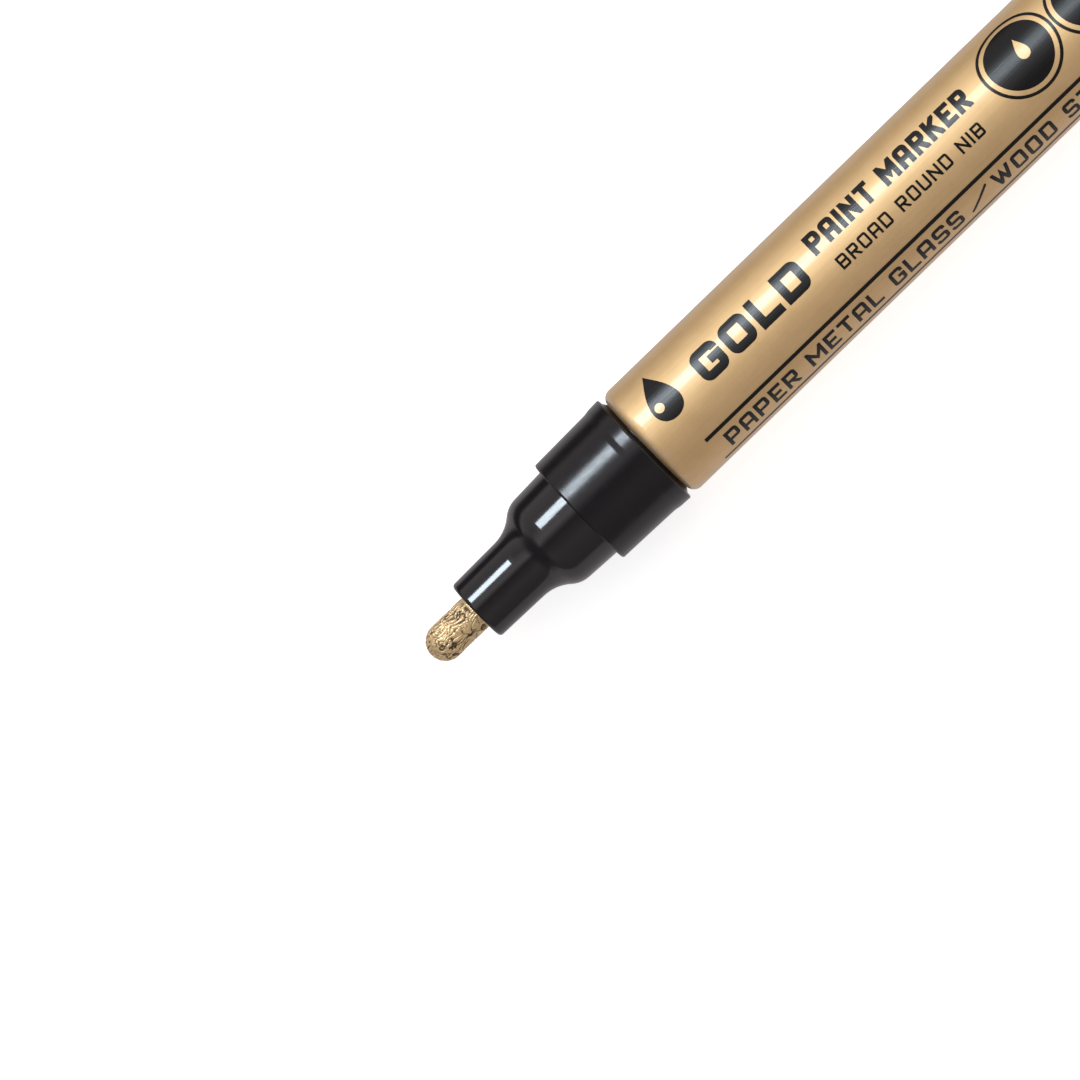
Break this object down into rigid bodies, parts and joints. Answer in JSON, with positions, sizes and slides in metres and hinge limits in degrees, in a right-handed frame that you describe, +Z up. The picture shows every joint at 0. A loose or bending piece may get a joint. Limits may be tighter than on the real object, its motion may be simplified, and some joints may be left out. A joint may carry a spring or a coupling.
{
  "type": "paint marker",
  "caption": "Pump-action paint marker with a round felt nib, metallic gold barrel and black stepped nose, its clipped cap posted on the tail.",
  "frame": {"origin": "on the marker's axis, halfway along the barrel", "axes": "+X along the marker from the nib end to the posted cap, +Z up, lying on its barrel"},
  "size_m": [0.1563, 0.0166, 0.015],
  "materials": {
    "nib_felt": "pressed fibre soaked in gold paint",
    "black_plastic": "moulded gloss black",
    "gold_barrel": "satin metallic gold coating",
    "print_black": "screen-printed black ink",
    "seal_rubber": "matt black rubber",
    "white_plastic": "natural white moulded plastic",
    "soft_plastic": "soft natural plastic",
    "spring_steel": "drawn steel wire",
    "polished_steel": "polished steel",
    "gold_disc": "metallic gold plastic"
  },
  "bodies": {
    "marker": {"barrel": "gold_barrel", "front_collar": "black_plastic", "nib_holder": "black_plastic", "collar_seal": "seal_rubber", "valve_housing": "white_plastic", "valve_seat_ring": "seal_rubber", "valve_spring": "spring_steel", "spring_cage": "white_plastic", "tail_plug": "black_plastic", "tail_seal": "seal_rubber"},
    "nib": {"nib": "nib_felt"},
    "valve": {"valve_stem": "white_plastic"},
    "ball": {"mixing_ball": "polished_steel"},
    "cap": {"cap_shell": "black_plastic", "cap_liner": "soft_plastic", "cap_end_disc": "gold_disc", "pocket_clip": "black_plastic"}
  },
  "joints": [
    {"name": "nib_press", "type": "slide", "parent": "marker", "child": "nib", "axis": [1, 0, 0], "range_m": [0, 0.0015], "stiffness_N_per_m": 300, "springref_m": -0.004},
    {"name": "valve_push", "type": "slide", "parent": "marker", "child": "valve", "axis": [1, 0, 0], "range_m": [0, 0.0015], "deforming": ["valve_spring"]},
    {"name": "ball_roll", "type": "slide", "parent": "marker", "child": "ball", "axis": [1, 0, 0], "range_m": [-0.0176, 0.0469]},
    {"name": "cap_pull", "type": "slide", "parent": "marker", "child": "cap", "axis": [1, 0, 0], "range_m": [0, 0.03]}
  ],
  "couplings": [
    {"joint": "valve_push", "follows": "nib_press", "ratio": 1}
  ]
}
